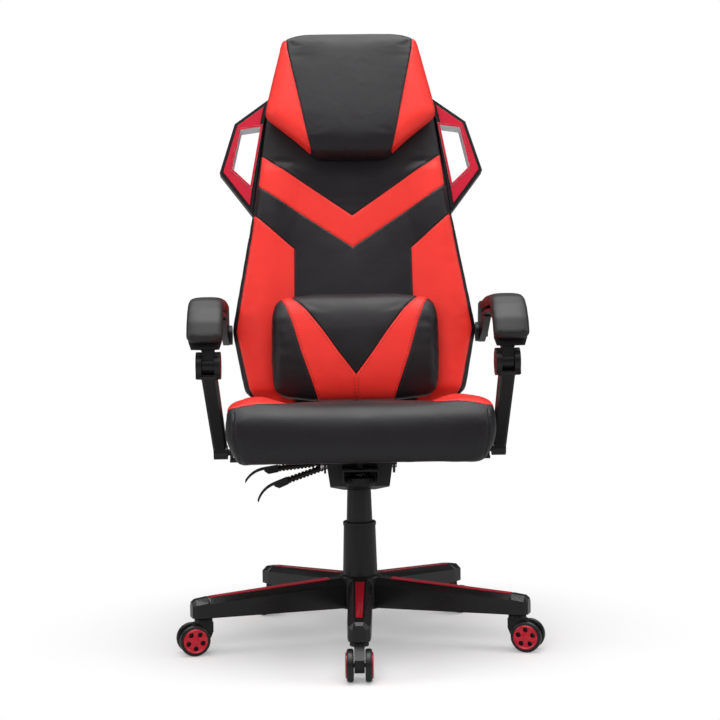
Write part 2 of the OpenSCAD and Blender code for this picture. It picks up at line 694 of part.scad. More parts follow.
function back_half_w(z) = lookup(z, [[back_bottom, back_low_w / 2], [wide_at, back_wide_w / 2],
    [shoulder_at, shoulder_w / 2], [neck_at, neck_w / 2], [crown_at, crown_w / 2]]);

// Section of the front cushion at height z, narrower by d and shallower by s at the bolsters
function back_ring(z, d, s) = let (w = back_half_w(z) - d, f = board_front - 0.6)
    [for (p = both([[w - 12, f], [w, f - 10], [w, f - cushion_t + 16], [w - 14, f - cushion_t - s],
                    [w - 46, f - cushion_t - s], [w - 90, f - cushion_t + 6],
                    [w - 150, f - cushion_t + 8]]))
        [-p[0], p[1], z]];

module back_cushion() color(leather) on_back() loft([
    back_ring(back_bottom - 26, 40, -20), back_ring(back_bottom - 3, 34, -16),
    back_ring(back_bottom, 16, -16), back_ring(back_bottom + 14, 4, 4), back_ring(wide_at, 0, 6),
    back_ring(shoulder_at, 0, 4), back_ring(head_low_at - 14, 0, 0), back_ring(head_low_at, 0, -9),
    back_ring(neck_at, 2, -9), back_ring(crown_at - 30, 5, -9), back_ring(crown_at - 8, 18, -18)]);

module back_frame() color(steel) {
    on_back() {
        inner = 16;
        translate([0, board_front + frame_t, 0]) rotate([90, 0, 0]) linear_extrude(frame_t) difference() {
            outline = both([[back_half_w(back_bottom) - inner, back_bottom - 3],
                            [back_half_w(wide_at) - inner, wide_at],
                            [back_half_w(shoulder_at) - inner, shoulder_at],
                            [back_half_w(neck_at) - inner, neck_at],
                            [back_half_w(crown_at) - inner, crown_at - 14]]);
            polygon(outline);
            // webbing window between the side rails
            polygon(both([[back_half_w(wide_at) - 60, 90],
                          [back_half_w(shoulder_at) - 60, shoulder_at - 20]]));
        }
    }
    // back half of the recline hinge
    mirrored() difference() {
        translate([plate_x + hinge_plate_t + 0.4, hinge_y, hinge_z]) rotate([-lean, 0, 0])
            rotate([90, 0, 90]) linear_extrude(hinge_plate_t - 0.4) union() {
                circle(r = hinge_r);
                polygon([[-20, 0], [-8, back_bottom - 4], [board_front, back_bottom - 2],
                         [board_front, 70], [board_front + frame_t, 70], [board_front + frame_t, 0]]);
            }
        translate([0, hinge_y, hinge_z]) bar_x(plate_x, plate_x + 20, hinge_pin_r + run);
    }
}

module back_cover() color(leather) on_back() {
    y0 = cover_front;
    y1 = cover_front + cover_t;
    cover_ring = function(z, d, y) [[back_half_w(z) - d, y0, z], [back_half_w(z) - d, y, z],
        [-back_half_w(z) + d, y, z], [-back_half_w(z) + d, y0, z]];
    loft([cover_ring(back_bottom, 14, y1 - 6), cover_ring(back_bottom + 14, 3, y1),
          cover_ring(wide_at, 1, y1), cover_ring(shoulder_at, 1, y1), cover_ring(neck_at, 2, y1),
          cover_ring(crown_at - 20, 6, y1), cover_ring(crown_at - 4, 20, y1 - 6)]);
}

// Section of the headrest at height z with half width w and front face f ahead of the cushion
head_back = board_front - 0.6 - cushion_t + 6 - seat_gap;
function head_ring(z, w, f) = [for (p = both([[w - 8, 0], [w, -8], [w - 4, -f + 12], [w - 26, -f + 2],
    [w * 0.45, -f]])) [-p[0], head_back + p[1], z]];

module headrest() color(leather) on_back() {
    low = head_low_w / 2;
    wide = neck_w / 2 - 1;
    top = crown_w / 2;
    loft([head_ring(head_low_at, low - 8, head_t - 22), head_ring(head_low_at + 9, low, head_t - 6),
          head_ring(head_low_at + 40, (low + wide) / 2 - 14, head_t),
          head_ring(neck_at - 6, wide - 3, head_t - 4), head_ring(neck_at + 3, wide, head_t - 5),
          head_ring((neck_at + crown_at) / 2, (wide + top) / 2, head_t - 14),
          head_ring(crown_at - 4, top, head_t - 24), head_ring(back_h, top - 28, head_t - 40)]);
}

pillow_z = 12;
pillow_back = board_front - 0.6 - cushion_t + 8 - seat_gap;

module lumbar_pillow() color(leather) on_back() {
    n = 16;
    a = pillow_h / 2;
    b = pillow_t / 2;
    w = pillow_w / 2;
    translate([0, pillow_back - b, pillow_z + a]) loft([for (s = [[-1, 0.45], [-0.97, 0.72], [-0.88, 0.9],
        [-0.5, 1], [0.5, 1], [0.88, 0.9], [0.97, 0.72], [1, 0.45]])
        [for (p = rounded(b * s[1], a * (0.3 + 0.7 * s[1]), 2.6, n)) [s[0] * w, p[0], p[1]]]]);
}

// ---------------------------------------------------------------- wings

wing_front = -8;
wing_rear = wing_front + wing_t;
foot_at = shoulder_at - 2;

// Outline of the visible wing on the right, from its foot round to its upper end
wing_outer = [[back_half_w(foot_at) + 1.2, foot_at], [wing_reach, wing_out_at],
              [wing_top_reach, wing_top_at], [back_half_w(wing_end_at) + 1.2, wing_end_at],
              [back_half_w(neck_at) + 1.2, neck_at]];
// The opening: its inner side runs beside the back, its outer sides along the border
wing_band = 27;
opening = let (inner = [back_half_w(shoulder_at + 60) + 13, shoulder_at + 60])
    [inner, [wing_reach - wing_band, wing_out_at + 8], [wing_top_reach - 13, wing_top_at - 14],
     [back_half_w(neck_at) + 9, neck_at - 12]];

module wing_extrude(y0, y1) translate([0, y1, 0]) rotate([90, 0, 0]) linear_extrude(y1 - y0) children();

module wing_frames() color(plastic) on_back() mirrored() {
    wing_extrude(wing_front, wing_rear) difference() {
        polygon(wing_outer);
        polygon(inset(opening, -bezel_w));
    }
    // mounting flange between the back's frame and its rear cover
    wing_extrude(board_front + frame_t + seat_gap, board_front + frame_t + 5)
        polygon([[back_half_w(foot_at) - 50, foot_at + 20], [back_half_w(foot_at) + 2, foot_at + 10],
                 [back_half_w(neck_at) + 2, neck_at], [back_half_w(wing_end_at) + 2, wing_end_at - 4],
                 [back_half_w(wing_end_at) - 50, wing_end_at - 14]]);
}

module wing_inserts() color(crimson) on_back() mirrored() wing_extrude(wing_front - 3, wing_front - seat_gap)
    difference() {
        polygon(inset(wing_outer, wing_border));
        polygon(inset(opening, -bezel_w - seat_gap));
    }

module wing_bezels() color(trim) on_back() mirrored() difference() {
    wing_extrude(wing_front - 4.5, wing_rear + 1) polygon(inset(opening, -bezel_w + seat_gap));
    wing_extrude(wing_front - 6, wing_rear + 2) polygon(opening);
}

module arm_brackets() color(plastic) mirrored() translate([0, rear_y, rear_z]) {
    x0 = back_wide_w / 2 + seat_gap;
    bar_x(x0, arm_plate_x - move_gap, 20);
    bar_x(x0 + 2, arm_plate_x + arm_plate_t + 5, link_pin_d / 2);
    bar_x(arm_plate_x + arm_plate_t + move_gap, arm_plate_x + arm_plate_t + 6, 11);
}

// ---------------------------------------------------------------- armrests

// Points along the arm, off below the crest line, as [y, z, slope]
arc_end = 70;
deck_end = arc_end + 11;
function arm_arc(off, a) = [pad_bend_y - (pad_bend_r - off) * sin(a),
                            pad_crest - pad_bend_r + (pad_bend_r - off) * cos(a), a];
function arm_path(off) = concat(
    [[pad_rear_y, pad_crest - 13 - off, -6], [70, pad_crest - 4 - off, -5], [pad_bend_y, pad_crest - off, 0]],
    [for (k = [1 : 4]) arm_arc(off, arc_end * k / 4)]);
function arm_ring(p, w, t, n) = [for (q = rounded(w, t, 3.2, n))
    [arm_x + q[0], p[0] - q[1] * sin(p[2]), p[1] + q[1] * cos(p[2])]];

module arm_pad() {
    path = arm_path(pad_t / 2);
    w = pad_w / 2;
    t = pad_t / 2;
    n = len(path);
    rear = [path[0][0] + 8, path[0][1] - 1, path[0][2]];
    tip = path[n - 1];
    front = [tip[0] - 8 * cos(tip[2]), tip[1] - 8 * sin(tip[2]), tip[2]];
    loft(concat([arm_ring(rear, w - 10, t - 5, 16)], [for (p = path) arm_ring(p, w, t, 16)],
                [arm_ring(front, w - 9, t - 5, 16)]));
}

module arm_body() {
    below = pad_t + seat_gap + deck_t / 2;
    path = concat(arm_path(below), [arm_arc(below, deck_end)]);
    last = len(path) - 1;
    difference() {
        union() {
            loft([for (k = [0 : last]) arm_ring(path[k], pad_w / 2 - (k == last ? 8 : 3), deck_t / 2, 12)]);
            // funnel down to the knuckle
            hull() {
                for (k = [3 : last - 2]) translate([arm_x, path[k][0], path[k][1] - 1])
                    cube([pad_w - 16, 4, deck_t - 5], center = true);
                translate([knuckle_x, knuckle_y, knuckle_z + cheek_r + 4])
                    cube([lug_w, 28, 6], center = true);
            }
            side_plate(knuckle_x - lug_w / 2, lug_w) union() {
                translate([knuckle_y, knuckle_z]) circle(r = 18);
                translate([knuckle_y - 14, knuckle_z]) square([28, cheek_r + 4]);
            }
            // rear plate that reaches the pivot on the back
            side_plate(arm_plate_x, arm_plate_t) difference() {
                under = pad_crest - pad_t;
                union() {
                    translate([rear_y, rear_z]) circle(r = 21);
                    polygon([[rear_y + 20, rear_z - 6], [rear_y + 4, rear_z + 58],
                             [rear_y - 34, pad_crest - 18], [pad_rear_y + 16, pad_crest - 22],
                             [pad_rear_y + 13, under - 16], [pad_rear_y - 40, under - 13],
                             [pad_rear_y - 44, under - 22], [pad_rear_y + 10, rear_z + 4],
                             [rear_y - 6, rear_z - 20]]);
                }
                translate([rear_y, rear_z]) circle(r = link_pin_d / 2 + run);
            }
        }
        translate([0, knuckle_y, knuckle_z])
            bar_x(knuckle_x - lug_w, knuckle_x + lug_w, link_pin_d / 2 + 0.5);
    }
}

function post_section(z, x, w, d) =
    [for (p = [[w, -d + 4], [w, d - 4], [w - 4, d], [-w + 4, d], [-w, d - 4],
               [-w, -d + 4], [-w + 4, -d], [w - 4, -d]])
        [x + p[0], foot_y + (z - foot_z) * arm_shift / arm_rise + p[1], z]];

module arm_post() {
    neck_z = knuckle_z - 22;
    cheek_x = lug_w / 2 + move_gap;
    loft([post_section(foot_z - 3, foot_x, 12.5, 12), post_section(foot_z + 14, foot_x + 2, 13, 15),
          post_section(neck_z - 4, knuckle_x - 2.5, 14.5, 19),
          post_section(neck_z + 3, knuckle_x - 1, 21, 22)]);
    // fork of the knuckle
    for (s = [-1, 1]) side_plate(knuckle_x + s * (cheek_x + cheek_t / 2) - cheek_t / 2, cheek_t) union() {
        translate([knuckle_y, knuckle_z]) circle(r = cheek_r);
        polygon([[knuckle_y - 20, knuckle_z], [knuckle_y - 25, neck_z - 1], [knuckle_y + 17, neck_z - 1],
                 [knuckle_y + 20, knuckle_z]]);
    }
    translate([0, knuckle_y, knuckle_z])
        bar_x(knuckle_x - cheek_x - 2, knuckle_x + cheek_x + 2, link_pin_d / 2);
}

module post_with_foot() difference() {
    union() {
        arm_post();
        translate([0, foot_y, foot_z]) bar_x(foot_x - 13, foot_x + 13, 13);
    }
    translate([0, foot_y, foot_z]) bar_x(foot_x - 14, foot_x + 10.5, link_pin_d / 2 + run);
}

for (i = [1 : 5]) {
    caster_fork(i);
    for (s = [["left", 1], ["right", -1]]) {
        caster_wheel(i, s[1]);
        wheel_cap(i, s[1]);
    }
}
star_base();
leg_strips();
column_tube();
column_sleeve();
guide_bush();
piston_rod();
thrust_bearing();
retaining_clip();
gas_cylinder();
mech_housing();
tilt_pin();
tension_spring();
tension_knob();
height_lever();
recline_lever();
seat_plate();
seat_board();
seat_cushion();
hinge_plates();
hinge_covers();
back_frame();
back_cushion();
back_cover();
headrest();
lumbar_pillow();
wing_frames();
wing_inserts();
wing_bezels();
arm_brackets();
color(plastic) mirror([1, 0, 0]) arm_body();  // arm_body_left
color(plastic) arm_body();  // arm_body_right
color(leather) mirror([1, 0, 0]) arm_pad();  // arm_pad_left
color(leather) arm_pad();  // arm_pad_right
color(plastic) mirror([1, 0, 0]) post_with_foot();  // arm_post_left
color(plastic) post_with_foot();  // arm_post_right
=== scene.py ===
import json
import math

import bmesh
import bpy
import numpy as np
from mathutils import Matrix, Vector, noise
from mathutils.bvhtree import BVHTree


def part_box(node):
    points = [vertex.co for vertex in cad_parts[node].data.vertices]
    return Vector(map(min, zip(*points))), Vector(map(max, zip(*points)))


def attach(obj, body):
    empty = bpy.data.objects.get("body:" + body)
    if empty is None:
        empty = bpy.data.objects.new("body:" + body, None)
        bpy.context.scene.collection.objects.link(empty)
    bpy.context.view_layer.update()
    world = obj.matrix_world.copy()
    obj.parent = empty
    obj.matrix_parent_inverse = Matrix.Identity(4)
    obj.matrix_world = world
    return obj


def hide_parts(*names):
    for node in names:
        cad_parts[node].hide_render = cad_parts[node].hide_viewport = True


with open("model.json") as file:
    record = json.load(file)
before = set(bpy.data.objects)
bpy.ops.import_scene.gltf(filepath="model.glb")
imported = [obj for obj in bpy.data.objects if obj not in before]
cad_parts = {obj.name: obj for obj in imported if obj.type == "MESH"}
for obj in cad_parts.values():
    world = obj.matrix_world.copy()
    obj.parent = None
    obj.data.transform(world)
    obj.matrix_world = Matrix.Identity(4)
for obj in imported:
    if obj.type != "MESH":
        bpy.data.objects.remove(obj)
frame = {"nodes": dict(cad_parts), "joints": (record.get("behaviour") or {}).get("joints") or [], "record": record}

# ---------------------------------------------------------------- frame and shared sizes, in metres

nodes = frame["nodes"]
bodies = frame["record"]["behaviour"]["bodies"]
body_of = {node: body for body, listed in bodies.items() for node in listed}
joints = {joint["name"]: joint for joint in frame["joints"]}
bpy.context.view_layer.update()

LEAN = math.radians(12.8)
BACK = Matrix.Translation(joints["back_recline"]["pos_m"]) @ Matrix.Rotation(-LEAN, 4, "X")
FLAT = Matrix.Identity(4)

# Directions in which seams are laid out on a piece: right, up and towards the viewer
FRONT = (Vector((1, 0, 0)), Vector((0, 0, 1)), Vector((0, -1, 0)))
REAR = (Vector((-1, 0, 0)), Vector((0, 0, 1)), Vector((0, 1, 0)))
TOP = (Vector((1, 0, 0)), Vector((0, 1, 0)), Vector((0, 0, 1)))
RIGHT = (Vector((0, 1, 0)), Vector((0, 0, 1)), Vector((1, 0, 0)))
LEFT = (Vector((0, -1, 0)), Vector((0, 0, 1)), Vector((-1, 0, 0)))

CLOTH_FRAMES = 20
FACING = 0.05           # seams go on faces whose normal makes more than this cosine with the view
SEAM_BAND = 0.014       # faces this near to a seam are cut
SEAM_OVERRUN = 0.006    # and this far past its ends
SEAM_HALF = 0.0028      # half the width of a groove
SEAM_DEPTH = 0.0022
STITCH_SIDE = 0.0045    # from the seam to its row of stitches
STITCH_PITCH = 0.0065
STITCH_LENGTH = 0.0042
STITCH_R = 0.00042

# Camera, fitted to the outline in the photo
CAMERA_LENS = 83.07     # mm on a 36 mm sensor
CAMERA_AWAY = (0.0053, -3.2, 0.703)
CAMERA_TURN, CAMERA_DOWN, CAMERA_ROLL = -1.5, 2.809, -0.8   # degrees

ORANGE_RED = (0.9, 0.036, 0.026)
CRIMSON = (0.56, 0.003, 0.022)
BLACK_HIDE = (0.0125, 0.0108, 0.0128)
BLACK = (0.0088, 0.0082, 0.009)


# ---------------------------------------------------------------- materials

def new_material(name, colour, roughness, **sockets):
    made = bpy.data.materials.new(name)
    made.use_nodes = True
    shader = made.node_tree.nodes["Principled BSDF"]
    shader.inputs["Base Color"].default_value = (*colour, 1)
    shader.inputs["Roughness"].default_value = roughness
    for socket, value in sockets.items():
        shader.inputs[socket.replace("_", " ")].default_value = value
    return made


def add(tree, kind, **inputs):
    """A shader node with its sockets set from numbers or linked from other sockets."""
    made = tree.nodes.new(kind)
    for socket, value in inputs.items():
        target = made.inputs[socket.replace("_", " ")]
        if isinstance(value, bpy.types.NodeSocket):
            tree.links.new(value, target)
        else:
            target.default_value = value
    return made


def shade_of(colour, factor):
    return (*[min(1, c * factor) for c in colour], 1)


def vary(made, colour, roughness, scale, spread, rough_spread):
    """Uneven tone and gloss, as on a moulded or coated surface."""
    tree = made.node_tree
    shader = tree.nodes["Principled BSDF"]
    place = add(tree, "ShaderNodeTexCoord").outputs["Object"]
    cloud = add(tree, "ShaderNodeTexNoise", Vector=place, Scale=scale, Detail=4.0)
    tone = add(tree, "ShaderNodeMix", Factor=cloud.outputs["Fac"])
    tone.data_type = "RGBA"
    mixed = [s for s in tone.inputs if s.type == "RGBA"]
    mixed[0].default_value = shade_of(colour, 1 - spread)
    mixed[1].default_value = shade_of(colour, 1 + spread)
    tree.links.new([s for s in tone.outputs if s.type == "RGBA"][0], shader.inputs["Base Color"])
    gloss = add(tree, "ShaderNodeMapRange", Value=cloud.outputs["Fac"])
    gloss.inputs["From Min"].default_value = 0.3
    gloss.inputs["From Max"].default_value = 0.7
    gloss.inputs["To Min"].default_value = roughness - rough_spread
    gloss.inputs["To Max"].default_value = roughness + rough_spread
    tree.links.new(gloss.outputs["Result"], shader.inputs["Roughness"])
    return place


def grain(made, place, coarse, fine, height):
    """Relief from rounded cells with finer noise over them."""
    tree = made.node_tree
    cells = add(tree, "ShaderNodeTexVoronoi", Vector=place, Scale=coarse)
    cells.feature = "SMOOTH_F1"
    dust = add(tree, "ShaderNodeTexNoise", Vector=place, Scale=fine, Detail=2.0)
    both = add(tree, "ShaderNodeMath")
    both.operation = "ADD"
    tree.links.new(cells.outputs["Distance"], both.inputs[0])
    tree.links.new(dust.outputs["Fac"], both.inputs[1])
    bump = add(tree, "ShaderNodeBump", Height=both.outputs[0], Strength=0.6, Distance=height)
    tree.links.new(bump.outputs["Normal"], tree.nodes["Principled BSDF"].inputs["Normal"])
    return bump


def hide(name, colour, roughness):
    """Grained artificial leather with faint creases."""
    made = new_material(name, colour, roughness, Specular_IOR_Level=0.35)
    place = vary(made, colour, roughness, 22.0, 0.08, 0.05)
    bump = grain(made, place, 900.0, 2600.0, 0.00016)
    tree = made.node_tree
    creases = add(tree, "ShaderNodeTexNoise", Vector=place, Scale=34.0, Detail=5.0, Distortion=0.6)
    soft = add(tree, "ShaderNodeBump", Height=creases.outputs["Fac"], Strength=0.35, Distance=0.0016)
    tree.links.new(soft.outputs["Normal"], bump.inputs["Normal"])
    return made


def moulded(name, colour, roughness, height=0.00006):
    """Injection-moulded plastic with a spark-eroded texture."""
    made = new_material(name, colour, roughness, Specular_IOR_Level=0.38)
    place = vary(made, colour, roughness, 9.0, 0.1, 0.04)
    grain(made, place, 1500.0, 3200.0, height)
    return made


def glossy(name, colour, roughness, coat=0.35):
    """Smooth coloured plastic under a clear skin."""
    made = new_material(name, colour, roughness, Coat_Weight=coat, Coat_Roughness=0.06)
    place = vary(made, colour, roughness, 12.0, 0.05, 0.03)
    grain(made, place, 120.0, 300.0, 0.00003)
    return made


def metal(name, colour, roughness):
    """Bare steel with marks drawn out along its length."""
    made = new_material(name, colour, roughness, Metallic=1.0)
    place = vary(made, colour, roughness, 40.0, 0.06, 0.06)
    tree = made.node_tree
    long = add(tree, "ShaderNodeMapping", Vector=place, Scale=(900, 900, 30))
    lines = add(tree, "ShaderNodeTexNoise", Vector=long.outputs["Vector"], Scale=1.0, Detail=3.0)
    bump = add(tree, "ShaderNodeBump", Height=lines.outputs["Fac"], Strength=0.2, Distance=0.00004)
    tree.links.new(bump.outputs["Normal"], tree.nodes["Principled BSDF"].inputs["Normal"])
    return made


def plywood(colour=(0.42, 0.27, 0.14), roughness=0.6):
    """Birch plywood with its plies drawn out in the relief."""
    made = new_material("plywood", colour, roughness)
    place = vary(made, colour, roughness, 6.0, 0.2, 0.05)
    tree = made.node_tree
    plies = add(tree, "ShaderNodeMapping", Vector=place, Scale=(6, 40, 700))
    lines = add(tree, "ShaderNodeTexNoise", Vector=plies.outputs["Vector"], Scale=1.0, Detail=3.0)
    bump = add(tree, "ShaderNodeBump", Height=lines.outputs["Fac"], Strength=0.4, Distance=0.0003)
    tree.links.new(bump.outputs["Normal"], tree.nodes["Principled BSDF"].inputs["Normal"])
    return made


black_hide = hide("black_hide", BLACK_HIDE, 0.42)
red_hide = hide("red_hide", ORANGE_RED, 0.45)
pad_skin = moulded("pad_skin", (0.017, 0.017, 0.018), 0.42, 0.00005)
black_plastic = moulded("black_plastic", BLACK, 0.34)
base_plastic = moulded("base_plastic", BLACK, 0.26, 0.00004)
wheel_plastic = moulded("wheel_plastic", (0.012, 0.012, 0.012), 0.28, 0.00004)
crimson = glossy("crimson", CRIMSON, 0.3)
strip_crimson = glossy("strip_crimson", CRIMSON, 0.16, 1.0)
wing_crimson = glossy("wing_crimson", (0.62, 0.002, 0.03), 0.34)
grey_trim = glossy("grey_trim", (0.78, 0.78, 0.8), 0.25)
white_plastic = moulded("white_plastic", (0.75, 0.75, 0.73), 0.4)
coated_steel = moulded("coated_steel", (0.014, 0.014, 0.015), 0.36, 0.00008)
bright_steel = metal("bright_steel", (0.62, 0.62, 0.64), 0.25)
black_thread = new_material("black_thread", (0.02, 0.02, 0.02), 0.6)
red_thread = new_material("red_thread", (0.62, 0.04, 0.03), 0.6)
wood = plywood()


# ---------------------------------------------------------------- mesh helpers

def mesh_of(node, matrix=FLAT):
    """A CAD node's mesh, welded, in the frame that the matrix gives."""
    made = bmesh.new()
    made.from_mesh(nodes[node].data)
    made.transform(matrix.inverted())
    bmesh.ops.remove_doubles(made, verts=made.verts, dist=1e-5)
    return made


def as_object(name, mesh_data, matrix, materials):
    """A new object from mesh data, which is freed."""
    mesh = bpy.data.meshes.new(name)
    mesh_data.to_mesh(mesh)
    mesh_data.free()
    for attribute in [a for a in mesh.attributes if a.name == "custom_normal"]:
        mesh.attributes.remove(attribute)
    made = bpy.data.objects.new(name, mesh)
    bpy.context.scene.collection.objects.link(made)
    made.matrix_world = matrix
    mesh.materials.clear()
    for each in materials:
        mesh.materials.append(each)
    return made


def apply_modifiers(piece):
    """Keeps the modified mesh and the materials, and drops the modifiers."""
    kept = list(piece.data.materials)
    graph = bpy.context.evaluated_depsgraph_get()
    made = bpy.data.meshes.new_from_object(piece.evaluated_get(graph))
    piece.modifiers.clear()
    piece.data = made
    made.materials.clear()
    for each in kept:
        made.materials.append(each)


def coordinates(mesh):
    read = np.empty(len(mesh.vertices) * 3)
    mesh.vertices.foreach_get("co", read)
    return read.reshape(-1, 3)


def normals(mesh):
    read = np.empty(len(mesh.vertices) * 3)
    mesh.vertices.foreach_get("normal", read)
    return read.reshape(-1, 3)


def both_sides(points):
    """A line and its mirror image across the middle of the chair, so that the same side stays outside."""
    return [points, [(-u, v) for u, v in reversed(points)]]


def segments_of(lines):
    return [(Vector(a), Vector(b)) for line in lines for a, b in zip(line, line[1:])]


def seam_distance(places, lines):
    """Distance of each flat point to the nearest of the lines."""
    nearest = np.full(len(places), 1.0)
    for a, b in segments_of(lines):
        a, b = np.array(a), np.array(b)
        along = np.clip((places - a) @ (b - a) / ((b - a) @ (b - a)), 0, 1)
        nearest = np.minimum(nearest, np.linalg.norm(places - a - along[:, None] * (b - a), axis=1))
    return nearest


def inside(point, outline):
    """Whether a flat point lies inside a closed outline."""
    hit = False
    for (u1, v1), (u2, v2) in zip(outline, outline[1:] + outline[:1]):
        if (v1 > point[1]) != (v2 > point[1]):
            hit ^= point[0] < (u2 - u1) * (point[1] - v1) / (v2 - v1) + u1
    return hit


# ---------------------------------------------------------------- cushions

def remesh(piece, voxel, rounds):
    """Even faces over the CAD solid, with its edges rounded off by so many rounds of smoothing."""
    made = piece.modifiers.new("remesh", "REMESH")
    made.mode = "VOXEL"
    made.voxel_size = voxel
    smooth = piece.modifiers.new("smooth", "SMOOTH")
    smooth.iterations = rounds
    smooth.factor = 0.5
    apply_modifiers(piece)


def swell(piece, held, pressure, cap):
    """Blows the cover up with Cloth from where it is sewn or backed, and moves no point past the cap."""
    start = coordinates(piece.data)
    group = piece.vertex_groups.new(name="held")
    group.add([int(i) for i in np.nonzero(held(start, normals(piece.data)))[0]], 1.0, "REPLACE")
    made = piece.modifiers.new("cloth", "CLOTH")
    cloth = made.settings
    cloth.vertex_group_mass = "held"
    cloth.use_pressure = True
    cloth.uniform_pressure_force = pressure
    cloth.effector_weights.gravity = 0
    cloth.quality = 4
    cloth.tension_stiffness = 12
    cloth.compression_stiffness = 8
    cloth.bending_stiffness = 0.4
    made.collision_settings.use_collision = False
    made.point_cache.frame_end = CLOTH_FRAMES
    for moment in range(1, CLOTH_FRAMES + 1):
        bpy.context.scene.frame_set(moment)
    graph = bpy.context.evaluated_depsgraph_get()
    moved = coordinates(piece.evaluated_get(graph).data) - start
    piece.modifiers.clear()
    piece.vertex_groups.clear()
    bpy.context.scene.frame_set(1)
    length = np.linalg.norm(moved, axis=1, keepdims=True)
    moved *= cap / (cap + length)
    piece.data.vertices.foreach_set("co", (start + moved).ravel())
    piece.data.update()


def subdivide(piece):
    """Four faces for each, on the smooth surface."""
    piece.modifiers.new("finer", "SUBSURF").levels = 1
    apply_modifiers(piece)


def flat_places(points, view):
    """The points as the viewer sees them, to the right and up."""
    right, up = np.array(view[0]), np.array(view[1])
    return np.stack([points @ right, points @ up], axis=1)


def cut_lines(mesh_data, view, lines):
    """New edges along each seam and along both edges of its groove."""
    right, up, facing = view
    for a, b in segments_of(lines):
        along = (b - a).normalized()
        across = right * -along.y + up * along.x
        middle, reach = (a + b) / 2, (b - a).length / 2 + SEAM_OVERRUN
        near = []
        for face in mesh_data.faces:
            if face.normal.dot(facing) < FACING:
                continue
            spot = face.calc_center_median()
            offset = Vector((spot.dot(right), spot.dot(up))) - middle
            sideways = abs(offset.x * -along.y + offset.y * along.x)
            if abs(offset.dot(along)) < reach and sideways < SEAM_BAND:
                near.append(face)
        for side in (-SEAM_HALF, 0, SEAM_HALF):
            near = [face for face in near if face.is_valid]
            spread = set(near) | {edge for face in near for edge in face.edges}
            spread |= {vert for face in near for vert in face.verts}
            origin = right * a.x + up * a.y + across * side
            cut = bmesh.ops.bisect_plane(mesh_data, geom=list(spread), dist=1e-6,
                                         plane_co=origin, plane_no=across)
            near = [part for part in cut["geom"] if isinstance(part, bmesh.types.BMFace)]


def sink_seams(mesh_data, view, lines):
    """Presses the grooves in, deepest along the seam."""
    facing = view[2]
    mesh_data.normal_update()
    verts = [v for v in mesh_data.verts if v.normal.dot(facing) > FACING]
    places = flat_places(np.array([v.co for v in verts]), view)
    near = seam_distance(places, lines)
    for vert, distance in zip(verts, near):
        if distance < SEAM_HALF - 1e-5:
            vert.co -= vert.normal * SEAM_DEPTH * (1 - distance / SEAM_HALF)


def within(view, outlines):
    """A test for faces that look towards the viewer and lie inside one of the outlines."""
    right, up, facing = view

    def test(spot, normal):
        place = (spot.dot(right), spot.dot(up))
        return normal.dot(facing) > 0.02 and any(inside(place, outline) for outline in outlines)

    return test


def capsule(mesh_data, start, end, radius):
    """A small six-sided thread stitch with pointed ends."""
    axis = (end - start).normalized()
    side = axis.orthogonal().normalized()
    other = axis.cross(side)
    rings = []
    spokes = [side * math.cos(k * math.pi / 3) + other * math.sin(k * math.pi / 3) for k in range(6)]
    for place, share in ((0.0, 0.35), (0.25, 1.0), (0.75, 1.0), (1.0, 0.35)):
        centre = start.lerp(end, place)
        rings.append([mesh_data.verts.new(centre + spoke * radius * share) for spoke in spokes])
    for low, high in zip(rings, rings[1:]):
        for k in range(6):
            mesh_data.faces.new((low[k], low[(k + 1) % 6], high[(k + 1) % 6], high[k]))
    mesh_data.faces.new(rings[0][::-1])
    mesh_data.faces.new(rings[-1])


def sew(mesh_data, tree, view, lines, sides):
    """Rows of stitches on the surface beside each seam."""
    right, up, facing = view

    def on_surface(spot):
        hit = tree.ray_cast(right * spot.x + up * spot.y + facing * 2, -facing)
        return hit[0] + hit[1] * STITCH_R * 0.4 if hit[0] and hit[1].dot(facing) > 0.15 else None

    for a, b in segments_of(lines):
        along = (b - a).normalized()
        across = Vector((-along.y, along.x))
        count = int((b - a).length / STITCH_PITCH)
        for side in sides:
            for k in range(count):
                first = a + along * (k * STITCH_PITCH + 0.001) + across * side
                start = on_surface(first)
                end = on_surface(first + along * STITCH_LENGTH)
                if start and end and (end - start).length < 2 * STITCH_LENGTH:
                    capsule(mesh_data, start, end, STITCH_R)


def wrinkle(mesh_data, mask, size, height):
    """Soft folds where the mask, a function of a point, is above zero."""
    mesh_data.normal_update()
    for vert in mesh_data.verts:
        weight = mask(vert.co)
        if weight > 0:
            fold = noise.noise(Vector((vert.co.x * size.x, vert.co.y * size.y, vert.co.z * size.z)))
            vert.co += vert.normal * fold * height * weight


